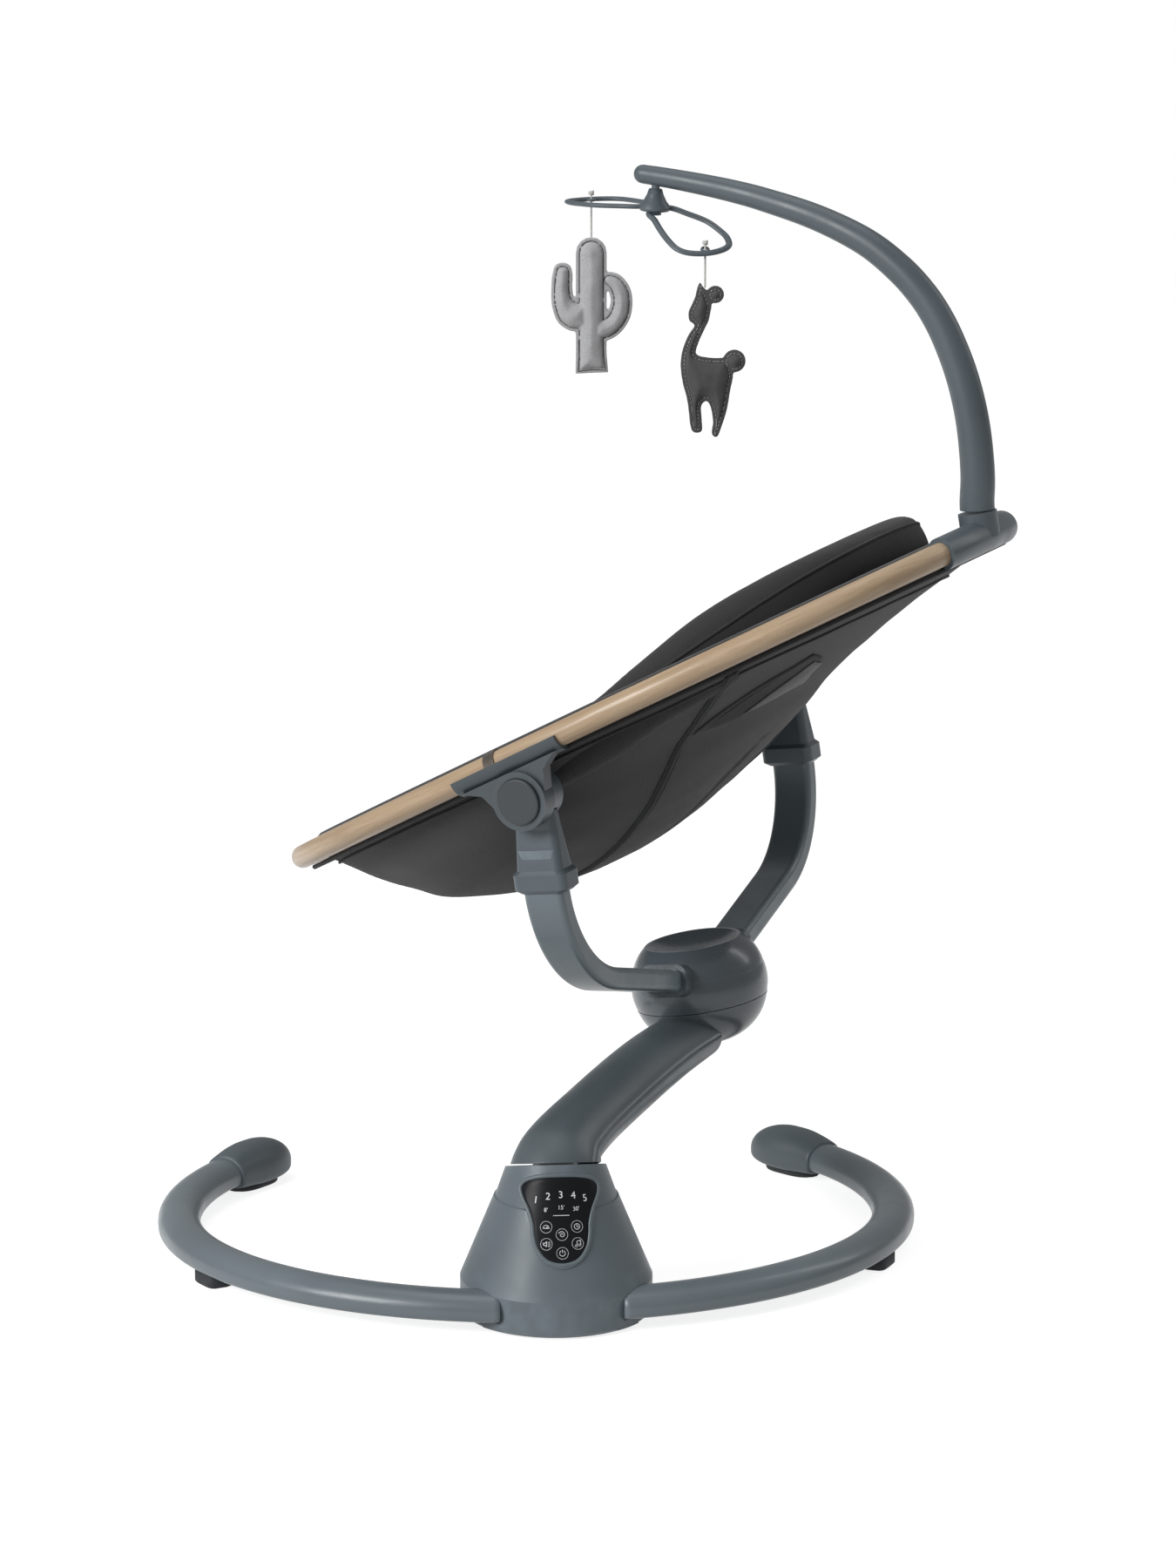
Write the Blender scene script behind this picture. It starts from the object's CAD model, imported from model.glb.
"""Baby swing: materials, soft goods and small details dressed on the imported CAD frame."""

import math

import bmesh
import bpy
import numpy as np
from mathutils import Matrix, Vector, noise
from mathutils.bvhtree import BVHTree


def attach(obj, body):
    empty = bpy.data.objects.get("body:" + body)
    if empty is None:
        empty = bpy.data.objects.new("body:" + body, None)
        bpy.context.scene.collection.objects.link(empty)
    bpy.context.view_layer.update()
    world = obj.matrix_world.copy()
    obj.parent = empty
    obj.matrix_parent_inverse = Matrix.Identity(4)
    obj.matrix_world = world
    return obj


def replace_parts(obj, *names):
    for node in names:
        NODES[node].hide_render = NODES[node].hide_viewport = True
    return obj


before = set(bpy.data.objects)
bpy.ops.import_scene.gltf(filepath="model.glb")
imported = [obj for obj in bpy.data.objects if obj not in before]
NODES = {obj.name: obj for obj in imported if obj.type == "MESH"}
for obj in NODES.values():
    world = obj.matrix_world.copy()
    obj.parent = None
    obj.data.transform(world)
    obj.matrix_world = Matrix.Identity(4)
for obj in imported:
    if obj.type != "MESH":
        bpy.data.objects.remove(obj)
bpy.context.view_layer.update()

# ---------------------------------------------------------------- frames, in metres

MM = 0.001
LEAN_BACK = math.radians(16.4)
SWING_AT = Vector((0, 0.0043, 0.114))
SWING_AXIS = Vector((0, math.sin(LEAN_BACK), math.cos(LEAN_BACK)))
SWING = (
    Matrix.Translation(SWING_AT)
    @ Matrix.Rotation(math.radians(-34.2), 4, SWING_AXIS)
    @ Matrix.Translation(-SWING_AT)
)
HUB = Vector((0, 0.2755, 0.185))
YOKE_LEAN = math.radians(1.3)
SEAT_TILT = math.radians(18.2)
PIVOT_RISE = 0.2063
RAIL_RISE = 0.033
RAIL_HALF_LENGTH = 0.3265
RAIL_HALF_WIDTH = 0.23
RAIL_MEAN_RADIUS = 0.28
PIVOT = HUB + PIVOT_RISE * Vector((math.sin(YOKE_LEAN), 0, math.cos(YOKE_LEAN)))


def frame_matrix(origin, x_axis, y_axis, z_axis):
    """A 4x4 from an origin and three axes."""
    turn = Matrix((x_axis, y_axis, z_axis)).transposed().to_4x4()
    return Matrix.Translation(origin) @ turn


ALONG = Vector((math.cos(SEAT_TILT), 0, math.sin(SEAT_TILT)))
ACROSS = Vector((0, 1, 0))
NORMAL = Vector((-math.sin(SEAT_TILT), 0, math.cos(SEAT_TILT)))
SEAT = SWING @ frame_matrix(PIVOT + RAIL_RISE * NORMAL, ALONG, ACROSS, NORMAL)


def seat(along, side, height):
    """Row-frame place of a point given in millimetres in the cradle's frame."""
    return SEAT @ Vector((along * MM, side * MM, height * MM))


# ---------------------------------------------------------------- materials


def linear(red, green, blue):
    """Linear colour of an sRGB colour given in 0-255."""
    out = []
    for value in (red, green, blue):
        c = value / 255
        out.append(c / 12.92 if c <= 0.04045 else ((c + 0.055) / 1.055) ** 2.4)
    return (*out, 1.0)


class Nodes:
    """Short hand for building one material's node tree."""

    def __init__(self, name):
        self.material = bpy.data.materials.new(name)
        self.material.use_nodes = True
        self.tree = self.material.node_tree
        self.shader = self.tree.nodes["Principled BSDF"]

    def add(self, kind, **inputs):
        """A new node with its inputs set or linked by name or number."""
        node = self.tree.nodes.new(kind)
        for key, value in inputs.items():
            self.feed(node, key, value)
        return node

    def feed(self, node, key, value):
        """Set or link one input."""
        name = key.replace("_", " ")
        socket = node.inputs[int(key[1:])] if key[0] == "i" and key[1:].isdigit() else node.inputs[name]
        if isinstance(value, bpy.types.NodeSocket):
            self.tree.links.new(value, socket)
        else:
            socket.default_value = value

    def math(self, operation, a, b=0.0):
        """One math node's output."""
        node = self.add("ShaderNodeMath", i0=a, i1=b)
        node.operation = operation
        return node.outputs[0]

    def noise(self, scale, detail=3.0, vector=None, roughness=0.5):
        """A noise texture's value output."""
        node = self.add("ShaderNodeTexNoise", Scale=scale, Detail=detail, Roughness=roughness)
        self.feed(node, "Vector", vector or self.place())
        return node.outputs[0]

    def place(self):
        """Object coordinates, in metres in the row frame at rest."""
        return self.add("ShaderNodeTexCoord").outputs["Object"]

    def blend(self, amount, first, second, kind="MIX"):
        """A colour mix."""
        node = self.tree.nodes.new("ShaderNodeMix")
        node.data_type = "RGBA"
        node.blend_type = kind
        self.feed(node, "i0", amount)
        self.feed(node, "i6", first)
        self.feed(node, "i7", second)
        return node.outputs[2]

    def ramp(self, value, low, high, first=0.0, second=1.0):
        """Value mapped from low-high to first-second, clamped."""
        node = self.add("ShaderNodeMapRange", i0=value, i1=low, i2=high, i3=first, i4=second)
        return node.outputs[0]

    def bump(self, height, strength, distance):
        """Link a bump to the shader's normal."""
        node = self.add("ShaderNodeBump", Height=height, Strength=strength, Distance=distance)
        self.feed(self.shader, "Normal", node.outputs[0])

    def set(self, **inputs):
        """Set or link the shader's inputs."""
        for key, value in inputs.items():
            self.feed(self.shader, key, value)


def shade(colour, factor):
    """A colour made lighter or darker."""
    return (*[min(1.0, c * factor) for c in colour[:3]], 1.0)


def plastic(name, colour, rough=0.42, grain=0.35, coat=0.0, metal=0.0, wear=0.35, specular=0.5):
    """Moulded or painted surface: fine spark-eroded grain, cloudy tone, rubbed edges."""
    n = Nodes(name)
    cloud = n.noise(9.0, 4.0)
    tone = n.blend(n.ramp(cloud, 0.3, 0.7), shade(colour, 0.9), shade(colour, 1.1))
    edge = n.ramp(n.add("ShaderNodeNewGeometry").outputs["Pointiness"], 0.52, 0.6, 0.0, wear)
    scuff = n.math("MULTIPLY", edge, n.ramp(n.noise(60.0, 5.0), 0.35, 0.65))
    n.set(Base_Color=n.blend(scuff, tone, shade(colour, 1.9)))
    n.set(Roughness=n.ramp(n.noise(35.0, 5.0), 0.3, 0.7, rough - 0.05, rough + 0.07))
    n.set(Metallic=metal, Coat_Weight=coat, Specular_IOR_Level=specular)
    n.bump(n.noise(1500.0, 2.0), grain, 0.00008)
    return n.material


def wood(name):
    """Pale steam-bent rail: grain that runs round the oval, in a satin varnish."""
    n = Nodes(name)
    inverse = SEAT.inverted()
    node = n.tree.nodes.new("ShaderNodeMapping")
    node.vector_type = "POINT"
    n.feed(node, "Vector", n.place())
    node.inputs["Location"].default_value = inverse.translation
    node.inputs["Rotation"].default_value = inverse.to_euler()
    axes = n.add("ShaderNodeSeparateXYZ", i0=node.outputs[0])
    s = n.math("DIVIDE", axes.outputs[0], RAIL_HALF_LENGTH)
    y = n.math("DIVIDE", axes.outputs[1], RAIL_HALF_WIDTH)
    angle = n.math("MULTIPLY", n.math("ARCTAN2", y, s), RAIL_MEAN_RADIUS)
    ring = n.math("POWER", n.math("ADD", n.math("POWER", s, 2.0), n.math("POWER", y, 2.0)), 0.5)
    out = n.math("MULTIPLY", ring, RAIL_MEAN_RADIUS)

    def along(stretch):
        """Coordinates drawn out along the rail."""
        return n.add(
            "ShaderNodeCombineXYZ",
            i0=n.math("MULTIPLY", angle, stretch), i1=out, i2=axes.outputs[2],
        ).outputs[0]

    fine = n.noise(420.0, 4.0, along(0.06), 0.65)
    broad = n.noise(110.0, 3.0, along(0.05), 0.5)
    pores = n.noise(900.0, 2.0, along(0.03), 0.6)
    tone = n.blend(n.ramp(broad, 0.32, 0.68), linear(164, 139, 110), linear(190, 167, 138))
    tone = n.blend(n.ramp(fine, 0.42, 0.75, 0.0, 0.55), tone, linear(150, 124, 94))
    tone = n.blend(n.ramp(pores, 0.62, 0.75, 0.0, 0.35), tone, linear(118, 94, 70))
    n.set(Base_Color=tone, Roughness=n.ramp(fine, 0.3, 0.7, 0.34, 0.5), Coat_Weight=0.15)
    n.bump(fine, 0.25, 0.0002)
    return n.material


def weave(n, pitch):
    """Over-and-under threads at a pitch in metres, on whichever faces the surface turns to."""
    k = 2 * math.pi / pitch
    axes = n.add("ShaderNodeSeparateXYZ", i0=n.place())
    waves = [n.math("SINE", n.math("MULTIPLY", axes.outputs[i], k)) for i in range(3)]
    facing = n.add("ShaderNodeSeparateXYZ", i0=n.add("ShaderNodeNewGeometry").outputs["True Normal"])
    weights = [n.math("POWER", facing.outputs[i], 2.0) for i in range(3)]
    total = None
    for i in range(3):
        pair = n.math("MULTIPLY", waves[(i + 1) % 3], waves[(i + 2) % 3])
        part = n.math("MULTIPLY", pair, weights[i])
        total = part if total is None else n.math("ADD", total, part)
    return total


def fabric(name, colour, pitch=0.0011, sheen=0.25, rough=0.85, heather=0.16):
    """Plain-woven upholstery cloth with threads, heathered yarn and a soft sheen."""
    n = Nodes(name)
    threads = weave(n, pitch)
    yarn = n.noise(700.0, 3.0)
    cloud = n.noise(7.0, 3.0)
    tone = n.blend(n.ramp(yarn, 0.3, 0.7), shade(colour, 1 - heather), shade(colour, 1 + heather))
    tone = n.blend(n.ramp(cloud, 0.3, 0.7, 0.0, 0.4), tone, shade(colour, 1.18))
    tone = n.blend(n.ramp(threads, -0.6, 0.6, 0.0, 0.35), tone, shade(colour, 0.62))
    n.set(Base_Color=tone, Roughness=n.ramp(yarn, 0.3, 0.7, rough - 0.06, rough + 0.06))
    n.set(Sheen_Weight=sheen, Sheen_Roughness=0.45)
    n.bump(n.math("ADD", threads, n.math("MULTIPLY", yarn, 0.6)), 0.5, 0.00025)
    return n.material


def felt(name, colour):
    """Matted fibres with fine flecks."""
    n = Nodes(name)
    fibre = n.noise(900.0, 6.0, None, 0.75)
    fleck = n.noise(2600.0, 2.0)
    patch = n.noise(60.0, 3.0)
    tone = n.blend(n.ramp(fibre, 0.35, 0.65), shade(colour, 0.8), shade(colour, 1.2))
    tone = n.blend(n.ramp(fleck, 0.6, 0.75, 0.0, 0.5), tone, shade(colour, 1.6))
    tone = n.blend(n.ramp(patch, 0.3, 0.7, 0.0, 0.3), tone, shade(colour, 0.85))
    n.set(Base_Color=tone, Roughness=n.ramp(fibre, 0.3, 0.7, 0.88, 0.98), Sheen_Weight=0.35)
    n.bump(fibre, 0.6, 0.0004)
    return n.material


SLATE = linear(95, 105, 111)
MATERIALS = {
    "slate": plastic("slate_plastic", SLATE),
    "ring": plastic("ring_paint", linear(104, 114, 120), rough=0.34, grain=0.15, coat=0.1),
    "arm": plastic("arm_plastic", linear(84, 93, 98), rough=0.38),
    "cap": plastic("cap_plastic", linear(84, 93, 98), rough=0.45, grain=0.5),
    "bar": plastic("bar_plastic", linear(79, 88, 94), rough=0.4),
    "tube": plastic("tube_paint", linear(98, 109, 115), rough=0.36, grain=0.15, coat=0.1),
    "hub": plastic("hub_plastic", linear(82, 90, 96), rough=0.27, grain=0.2, coat=0.1),
    "dark": plastic("dark_plastic", linear(62, 70, 75)),
    "button": plastic("button_plastic", linear(48, 54, 58), rough=0.42),
    "panel": plastic("panel_gloss", linear(26, 27, 30), rough=0.34, grain=0.02, wear=0.0, specular=0.12),
    "print": plastic("panel_print", linear(226, 228, 230), rough=0.4, grain=0.1, wear=0.0),
    "rubber": plastic("foot_rubber", linear(44, 47, 50), rough=0.75, grain=0.6),
    "steel": plastic("steel", linear(150, 152, 154), rough=0.3, grain=0.2, metal=1.0),
    "gear": plastic("gear_plastic", linear(214, 212, 204), rough=0.5),
    "ferrule": plastic("ferrule", linear(96, 90, 84), rough=0.35, metal=0.6),
    "wood": wood("rail_wood"),
    "sling": fabric("sling_cloth", linear(62, 62, 63), pitch=0.0012, sheen=0.1),
    "pad": fabric("pad_cloth", linear(48, 48, 49), pitch=0.0014, sheen=0.2),
    "head": fabric("head_cloth", linear(42, 41, 41), pitch=0.0014, sheen=0.1),
    "gusset": fabric("gusset_cloth", linear(38, 37, 37), pitch=0.0014, sheen=0.05),
    "piping": fabric("piping_cloth", linear(34, 34, 35), pitch=0.0008, sheen=0.15),
    "opening": fabric("opening_cloth", linear(10, 10, 11), pitch=0.0012, sheen=0.0),
    "label": fabric("label_satin", linear(48, 48, 50), pitch=0.0005, sheen=0.05, rough=0.6),
    "webbing": fabric("webbing", linear(48, 49, 50), pitch=0.0016, sheen=0.15, heather=0.25),
    "light_felt": felt("light_felt", linear(176, 176, 178)),
    "dark_felt": felt("dark_felt", linear(74, 74, 75)),
    "white_thread": fabric("white_thread", linear(215, 214, 210), pitch=0.0006),
    "dark_thread": fabric("dark_thread", linear(52, 52, 54), pitch=0.0006),
}
NODE_MATERIALS = {
    "slate": (
        "tower_shell", "base_plate", "base_tube_left", "base_tube_right", "end_cap_left", "end_cap_right",
        "arm_lower_shell", "arm_upper_shell",
    ),
    "bar": ("toy_bar", "toy_bar_mount", "mobile_hanger", "yoke_head_near", "yoke_head_far", "hanger_pin"),
    "tube": ("yoke_tube_near", "yoke_tube_far"),
    "hub": ("hub_bowl", "hub_lower_shell", "hub_upper_shell"),
    "dark": (
        "seat_bracket_near", "seat_bracket_far", "harness_buckle", "speaker", "power_inlet", "drive_chassis",
    ),
    "button": ("recline_button_near", "recline_button_far", "buckle_button"),
    "panel": ("control_panel", "touch_film"),
    "rubber": ("ring_feet", "base_feet"),
    "steel": (
        "base_screws", "lower_bearing", "upper_bearing", "gear_motor", "spindle", "arm_tube", "turn_post",
        "pivot_pins",
    ),
    "gear": ("sector_gear", "drive_pinion"),
    "ferrule": ("rail_rings",),
    "wood": ("foot_rail", "head_rail"),
}
for key, names in NODE_MATERIALS.items():
    for name in names:
        node = NODES[name]
        node.data.materials.clear()
        node.data.materials.append(MATERIALS[key])

# ---------------------------------------------------------------- mesh helpers


def set_smooth(mesh, smooth=True):
    """Smooth or flat shading on every face."""
    for polygon in mesh.polygons:
        polygon.use_smooth = smooth


def link(piece):
    """Put an object in the scene."""
    bpy.context.scene.collection.objects.link(piece)


def make(name, verts, faces, material, body, smooth=True):
    """A mesh object that rides on a body."""
    mesh = bpy.data.meshes.new(name)
    mesh.from_pydata([tuple(v) for v in verts], [], faces)
    mesh.validate()
    piece = bpy.data.objects.new(name, mesh)
    link(piece)
    mesh.materials.append(MATERIALS[material])
    bm = bmesh.new()
    bm.from_mesh(mesh)
    bmesh.ops.recalc_face_normals(bm, faces=bm.faces)
    bm.to_mesh(mesh)
    bm.free()
    set_smooth(mesh, smooth)
    if body:
        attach(piece, body)
    return piece


def lattice(rows, columns, wrap_rows=False, caps=False):
    """Quads between rows of points, each row closed on itself."""
    faces = []
    for r in range(rows if wrap_rows else rows - 1):
        nxt = (r + 1) % rows
        for c in range(columns):
            d = (c + 1) % columns
            faces.append((r * columns + c, r * columns + d, nxt * columns + d, nxt * columns + c))
    if caps:
        faces.append(tuple(reversed(range(columns))))
        faces.append(tuple(range((rows - 1) * columns, rows * columns)))
    return faces


def skin(name, rows, material, body):
    """A closed shape over rows of points, with a cap at each end."""
    spots = [spot for row in rows for spot in row]
    return make(name, spots, lattice(len(rows), len(rows[0]), False, True), material, body)


def tube(name, path, radius, material, body, closed=False, sides=8, squash=1.0, up=None):
    """A round or flattened tube through points; radius is a number or one per point."""
    points = [Vector(p) for p in path]
    count = len(points)
    radii = radius if isinstance(radius, (list, tuple)) else [radius] * count
    verts = []
    previous = None
    for i, point in enumerate(points):
        before = points[i - 1] if i or closed else points[i]
        after = points[(i + 1) % count] if i < count - 1 or closed else points[i]
        heading = (after - before).normalized()
        guide = up or previous or (Vector((0, 0, 1)) if abs(heading.z) < 0.9 else Vector((1, 0, 0)))
        side = heading.cross(guide).normalized()
        rise = side.cross(heading).normalized()
        previous = rise
        for k in range(sides):
            a = 2 * math.pi * k / sides
            verts.append(point + radii[i] * (math.cos(a) * side + squash * math.sin(a) * rise))
    return make(name, verts, lattice(count, sides, closed, not closed), material, body)


def spline_spot(p0, p1, p2, p3, t):
    """A Catmull-Rom curve's point between its second and third keys."""
    return 0.5 * (
        2 * p1 + (p2 - p0) * t + (2 * p0 - 5 * p1 + 4 * p2 - p3) * t * t
        + (3 * p1 - p0 - 3 * p2 + p3) * t ** 3
    )


def curve_points(keys, steps):
    """Smooth Catmull-Rom points through keys (tuples of numbers)."""
    data = [keys[0], *keys, keys[-1]]
    out = []
    for i in range(1, len(data) - 2):
        p0, p1, p2, p3 = (np.array(data[i + j], float) for j in (-1, 0, 1, 2))
        out.extend(spline_spot(p0, p1, p2, p3, j / steps) for j in range(steps))
    out.append(np.array(keys[-1], float))
    return out


END_SHAPE = 0.864
END_SHARE = 0.55


def oval(foot, head, width, turn):
    """A point of a four-arc oval; turn runs 0 to 1 round it from the head end."""
    middle, half = (foot + head) / 2, (head - foot) / 2
    end = min(END_SHAPE * width, 0.97 * half)
    gap = half - end
    reach = (gap * gap - (width - end) ** 2) / (2 * (width - end))
    limit = math.atan2(max(reach, 0.0), gap)
    quarter = (turn % 1.0) * 4
    index = int(quarter)
    q = quarter - index
    if index % 2:
        q = 1 - q
    if q < END_SHARE:
        angle = limit * q / END_SHARE
        s, y = gap + end * math.cos(angle), end * math.sin(angle)
    else:
        angle = limit + (math.pi / 2 - limit) * (q - END_SHARE) / (1 - END_SHARE)
        big = width + reach
        s, y = big * math.cos(angle), big * math.sin(angle) - reach
    return middle + (s if index in (0, 3) else -s), (y if index < 2 else -y)


# ---------------------------------------------------------------- sling

SLING = (  # height, foot end, head end, half width
    (0.0, -316.8, 316.8, 220.3),
    (-9.0, -308.0, 303.0, 209.0),
    (-24.0, -292.0, 228.0, 202.0),
    (-44.0, -273.0, 150.0, 189.0),
    (-61.0, -252.0, 108.0, 172.0),
    (-78.0, -227.0, 58.0, 149.0),
    (-91.5, -195.0, 18.0, 114.0),
    (-102.0, -165.0, -16.0, 80.0),
    (-108.5, -138.0, -44.0, 46.0),
    (-111.0, -112.0, -66.0, 20.0),
)
LEVELS = curve_points(SLING, 5)
TURNS = 160
LOWEST = 80                    # how far towards the foot the bowl is deepest
WRINKLE = 2.2
CLOTH_THICKNESS = 3.2
HEM_COUNT = 220
HEM_HALF_LENGTH = 321.5
HEM_HALF_WIDTH = 225.0
HEM_HEIGHT = -11.6
HEM_LOW_LEVEL = 0.17


def bowl_point(level, turn, inset=0.0):
    """Point of the bowl's surface; level runs 0 to 1 from the rim to the floor."""
    place = min(max(level, 0.0), 1.0) * (len(LEVELS) - 1)
    low = int(min(place, len(LEVELS) - 2))
    height, foot, head, width = LEVELS[low] * (1 - place + low) + LEVELS[low + 1] * (place - low)
    width = max(width - inset, 2.0)
    s, y = oval(min(foot + inset, -82.0), max(head - inset, -78.0), width, turn)
    return s, y, height + inset * min(1.0, level * 1.4)


def drape(point, amount):
    """A slow wrinkle offset for a point in the cradle's frame, in millimetres."""
    s, y, n = point
    broad = noise.noise(Vector((s * 0.011, y * 0.011, n * 0.02)))
    pull = noise.noise(Vector((s * 0.03 + n * 0.05, y * 0.03, n * 0.008)))
    return amount * (broad + 0.5 * pull)


def draped(s, y, n, level, lift=0.0):
    """A point of the bowl moved out by its wrinkles and a lift, in millimetres."""
    out = drape((s, y, n), WRINKLE) * min(1.0, level * 5) + lift
    length = math.hypot(s + LOWEST, y) or 1
    return s + out * (s + LOWEST) / length * 0.7, y + out * y / length * 0.7, n - out * 0.5


def sling_rows(inset):
    """Rows of one face of the sling's cloth, from the rim to the floor."""
    rows = []
    for i in range(len(LEVELS)):
        level = i / (len(LEVELS) - 1)
        rows.append([seat(*draped(*bowl_point(level, c / TURNS, inset), level)) for c in range(TURNS)])
    return rows


sling = skin("sling_cloth", sling_rows(0.0)[::-1] + sling_rows(CLOTH_THICKNESS), "sling", "cradle")
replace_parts(sling, "seat_sling")


def on_sling(level, turn, lift=0.0):
    """Place on the draped cloth, lifted off its outside."""
    return seat(*draped(*bowl_point(level, turn), level, lift))


GRID = np.array([
    (level, turn, *bowl_point(level, turn)[:2])
    for level in np.linspace(0.03, 0.99, 60) for turn in np.linspace(0, 1, 160, endpoint=False)
])


def cling(s, y, lift=0.0):
    """Point of the cloth straight below a place of the rail's plane."""
    nearest = GRID[np.argmin((GRID[:, 2] - s) ** 2 + (GRID[:, 3] - y) ** 2)]
    level, turn = nearest[:2]
    for _ in range(4):
        here = np.array(bowl_point(level, turn)[:2])
        down = (np.array(bowl_point(level + 0.004, turn)[:2]) - here) / 0.004
        along = (np.array(bowl_point(level, turn + 0.002)[:2]) - here) / 0.002
        slope = np.column_stack((down, along))
        if abs(np.linalg.det(slope)) < 1e-3:
            break
        step = np.linalg.solve(slope, np.array((s, y)) - here)
        level = min(max(level + float(np.clip(step[0], -0.03, 0.03)), 0.0), 0.995)
        turn += float(np.clip(step[1], -0.02, 0.02))
    return on_sling(level, turn, lift)


def patch(name, corners, lift, thickness, material, bulge=0.0, count=14):
    """A thin piece of cloth laid on the sling between four corners."""
    a, b, c, d = (np.array(corner, float) for corner in corners)
    layers = []
    for height in (lift, lift + thickness):
        for i in range(count):
            u = i / (count - 1)
            for j in range(count):
                v = j / (count - 1)
                s, y = (a * (1 - u) + b * u) * (1 - v) + (d * (1 - u) + c * u) * v
                rise = bulge * math.sin(math.pi * u) * math.sin(math.pi * v)
                layers.append(cling(s, y, height + rise))
    size = count * count
    faces = []
    for i in range(count - 1):
        for j in range(count - 1):
            k = i * count + j
            faces.append((k, k + 1, k + count + 1, k + count))
            faces.append((size + k, size + k + count, size + k + count + 1, size + k + 1))
    edge = (
        [*range(count - 1)]
        + [i * count + count - 1 for i in range(count - 1)]
        + [size - 1 - j for j in range(count - 1)]
        + [(count - 1 - i) * count for i in range(count - 1)]
    )
    for k, m in zip(edge, edge[1:] + edge[:1]):
        faces.append((k, size + k, size + m, m))
    return make(name, layers, faces, material, "cradle")


hem = [
    seat(*oval(-HEM_HALF_LENGTH, HEM_HALF_LENGTH, HEM_HALF_WIDTH, c / HEM_COUNT), HEM_HEIGHT)
    for c in range(HEM_COUNT)
]
tube("sling_hem_piping", hem, 0.0021, "piping", "cradle", closed=True, sides=8)
hem_low = [on_sling(HEM_LOW_LEVEL, c / HEM_COUNT, 0.8) for c in range(HEM_COUNT)]
tube("sling_hem_stitch", hem_low, 0.0012, "piping", "cradle", closed=True, sides=6)

SEAM = ((172, -166), (108, -138), (55, -118), (-2, -92), (-57, -72), (-98, -58))
for side, sign in {"near": 1, "far": -1}.items():
    for k, (offset, radius) in enumerate(((0.0, 0.0023), (9.0, 0.0016), (-7.0, 0.0009))):
        seam = [cling(s + offset, y * sign, 0.9) for s, y in curve_points(SEAM, 12)]
        tube(f"sling_seam_{side}_{k}", seam, radius, "piping", "cradle")
POCKET = ((96, -126), (128, -118), (160, -106), (196, -84))
slot_edge = [cling(s, y, 0.9) for s, y in curve_points(POCKET, 9)]
tube("pocket_lip", slot_edge, 0.0019, "sling", "cradle")
patch("pocket_opening", ((97, -124), (196, -84), (188, -58), (116, -88)), 0.6, 0.9, "opening")
patch("pocket_flap", ((122, -88), (184, -66), (177, -42), (150, -32)), 1.6, 0.8, "label", bulge=2.0)

# ---------------------------------------------------------------- pad

PAD_OUT = 4.6
PAD_IN = 17.0
CHANNELS = (-190, -135, -80, -25, 30, 85, 140)
CHANNEL_DEPTH = 4.0
PAD_CROWN = 2.0
PAD_EDGE = (  # how far in and how high the pad's rolled edge passes
    (4.6, -4.0), (5.0, 4.0), (7.5, 9.5), (11.5, 11.5), (15.5, 8.5), (17.5, 2.0),
)


def channel(s, y):
    """Depth of the sewn channels at a place, 0 to 1."""
    half = 78 + 0.10 * (s + 100)
    depth = math.exp(-((abs(y) - half) / 5.0) ** 2)
    if abs(y) < half:
        for line in CHANNELS:
            bow = line - 0.0012 * y * y
            depth = max(depth, math.exp(-((s - bow) / 4.5) ** 2))
    return depth


pad_rows = []
for i in range(len(LEVELS) - 1, 2, -2):
    level = i / (len(LEVELS) - 1)
    pad_rows.append([bowl_point(level, c / TURNS, PAD_OUT) for c in range(TURNS)])
for inset, height in PAD_EDGE:
    pad_rows.append([(*bowl_point(0.0, c / TURNS, inset)[:2], height) for c in range(TURNS)])
for i in range(3, len(LEVELS)):
    level = i / (len(LEVELS) - 1)
    row = []
    for c in range(TURNS):
        s, y, n = bowl_point(level, c / TURNS, PAD_IN)
        sink = channel(s, y) * CHANNEL_DEPTH * min(1, level * 4)
        row.append((s, y, n + PAD_CROWN * min(1, level * 3) - sink))
    pad_rows.append(row)
pad = skin("cradle_pad", [[seat(*p) for p in row] for row in pad_rows], "pad", "cradle")
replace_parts(pad, "seat_pad")

# ---------------------------------------------------------------- head cushion

CUSHION = (  # along, side, top, bottom, half thickness
    (-84.0, 173.0, -8.0, -32.0, 8.0),
    (-40.0, 181.0, 0.0, -36.0, 13.0),
    (10.0, 182.0, 5.0, -38.0, 16.0),
    (60.0, 177.0, 13.0, -35.0, 19.0),
    (104.0, 168.0, 24.0, -28.0, 21.5),
    (156.0, 147.0, 37.0, -22.0, 22.5),
    (200.0, 112.0, 42.0, -9.0, 22.5),
    (228.0, 64.0, 43.0, 0.0, 22.0),
    (239.0, 0.0, 43.0, 3.0, 22.0),
)
route = [*CUSHION, *((s, -y, t, b, w) for s, y, t, b, w in CUSHION[-2::-1])]
stations = curve_points(route, 9)
SECTION = 40


def level_heading(first, second):
    """Level direction from one station to another, in the cradle's frame."""
    return Vector((second[0] - first[0], second[1] - first[1], 0)).normalized()


headings = [
    level_heading(stations[max(i - 1, 0)], stations[min(i + 1, len(stations) - 1)])
    for i in range(len(stations))
]


def cushion_section(station, heading):
    """One closed section of the head cushion in the cradle's frame."""
    s, y, top, bottom, half = station
    side = Vector((-heading.y, heading.x, 0))
    high, mid = (top - bottom) / 2, (top + bottom) / 2
    ring = []
    for k in range(SECTION):
        a = 2 * math.pi * k / SECTION
        c, d = math.cos(a), math.sin(a)
        across = math.copysign(abs(c) ** 0.8, c) * half
        up = math.copysign(abs(d) ** 0.72, d) * high
        ring.append((s + side.x * across, y + side.y * across, mid + up))
    return ring


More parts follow.
